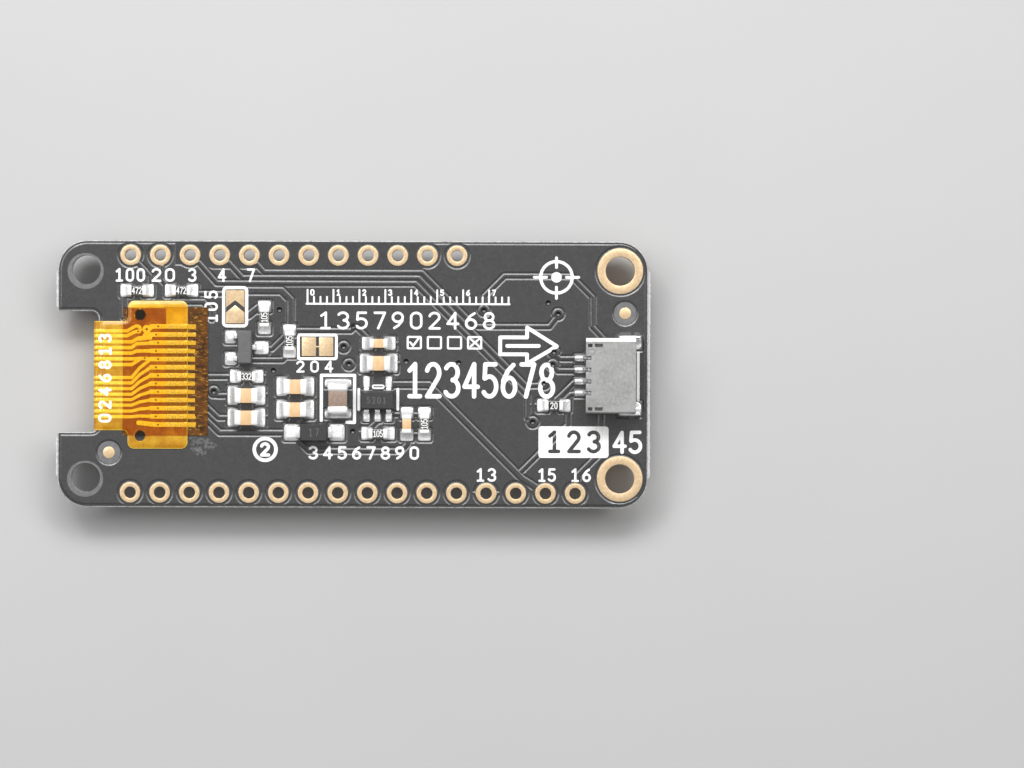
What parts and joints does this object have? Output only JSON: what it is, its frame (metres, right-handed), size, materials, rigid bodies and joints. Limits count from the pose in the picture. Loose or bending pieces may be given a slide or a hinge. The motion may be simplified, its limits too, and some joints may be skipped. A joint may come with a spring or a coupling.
{
  "type": "small oled display module",
  "caption": "Small display module: a narrow board with rows of plated header holes, a folded amber flex, chip parts and a side-entry cable socket; display and push buttons on the far side.",
  "frame": {"origin": "under the centre of the board, on the outer face of the display, which the module rests on", "axes": "+X along the board towards the cable socket, +Y across it, +Z out of the component side"},
  "size_m": [0.051, 0.0228, 0.0066],
  "materials": {
    "board_black": "dark solder mask over glass-fibre laminate, semi-matt",
    "gold_plating": "soft satin gold over copper",
    "solder": "bright reflowed solder, slightly dimpled",
    "display_glass": "clear glass, ground edges",
    "polariser_film": "very dark gloss film",
    "silicon": "polished grey silicon",
    "foam_tape": "dark foam tape",
    "amber_flex": "translucent amber film over bright traces",
    "amber_tape": "thin translucent amber tape",
    "resistor_black": "dark glazed top between bright end caps",
    "capacitor_ceramic": "fine-grained peach ceramic between tinned end caps",
    "ferrite": "matt warm grey ferrite between tinned end caps",
    "package_black": "matt moulded epoxy",
    "package_grey": "matt moulded epoxy, greyer",
    "tinned_lead": "tinned sheet metal",
    "connector_plastic": "light grey moulded plastic",
    "button_base": "black moulded plastic",
    "button_steel": "thin stamped sheet",
    "button_plunger": "off-white moulded plastic"
  },
  "bodies": {
    "board": {"pcb": "board_black", "header_hole_plating": "gold_plating", "mount_hole_plating": "gold_plating", "bare_pads": "gold_plating", "solder_joints": "solder", "oled_main_glass": "display_glass", "oled_rear_glass": "display_glass", "polariser": "polariser_film", "driver_chip": "silicon", "mounting_tape": "foam_tape", "flex_tail": "amber_flex", "flex_cover_tape": "amber_tape", "resistor_1": "resistor_black", "resistor_2": "resistor_black", "resistor_3": "resistor_black", "resistor_4": "resistor_black", "resistor_5": "resistor_black", "resistor_6": "resistor_black", "resistor_7": "resistor_black", "resistor_8": "resistor_black", "capacitor_1": "capacitor_ceramic", "capacitor_2": "capacitor_ceramic", "capacitor_3": "capacitor_ceramic", "capacitor_4": "capacitor_ceramic", "capacitor_5": "capacitor_ceramic", "capacitor_6": "capacitor_ceramic", "capacitor_7": "capacitor_ceramic", "chip_inductor": "ferrite", "diode_body": "package_black", "diode_leads": "tinned_lead", "transistor_body": "package_grey", "transistor_leads": "tinned_lead", "regulator_body": "package_black", "regulator_leads": "tinned_lead", "connector_housing": "connector_plastic", "connector_contacts": "tinned_lead", "connector_tabs": "tinned_lead", "button_a_base": "button_base", "button_a_cover": "button_steel", "button_a_dome": "button_steel", "button_a_terminals": "tinned_lead", "button_b_base": "button_base", "button_b_cover": "button_steel", "button_b_dome": "button_steel", "button_b_terminals": "tinned_lead", "button_c_base": "button_base", "button_c_cover": "button_steel", "button_c_dome": "button_steel", "button_c_terminals": "tinned_lead", "button_d_base": "button_base", "button_d_cover": "button_steel", "button_d_dome": "button_steel", "button_d_terminals": "tinned_lead"},
    "button_a": {"button_a_plunger": "button_plunger"},
    "button_b": {"button_b_plunger": "button_plunger"},
    "button_c": {"button_c_plunger": "button_plunger"},
    "button_d": {"button_d_plunger": "button_plunger"}
  },
  "joints": [
    {"name": "button_a_press", "type": "slide", "parent": "board", "child": "button_a", "axis": [0, 0, 1], "range_m": [0, 0.0002], "stiffness_N_per_m": 100, "springref_m": -0.0001, "deforming": ["button_a_dome"]},
    {"name": "button_b_press", "type": "slide", "parent": "board", "child": "button_b", "axis": [0, 0, 1], "range_m": [0, 0.0002], "stiffness_N_per_m": 100, "springref_m": -0.0001, "deforming": ["button_b_dome"]},
    {"name": "button_c_press", "type": "slide", "parent": "board", "child": "button_c", "axis": [0, 0, 1], "range_m": [0, 0.0002], "stiffness_N_per_m": 100, "springref_m": -0.0001, "deforming": ["button_c_dome"]},
    {"name": "button_d_press", "type": "slide", "parent": "board", "child": "button_d", "axis": [0, 0, 1], "range_m": [0, 0.0002], "stiffness_N_per_m": 100, "springref_m": -0.0001, "deforming": ["button_d_dome"]}
  ]
}
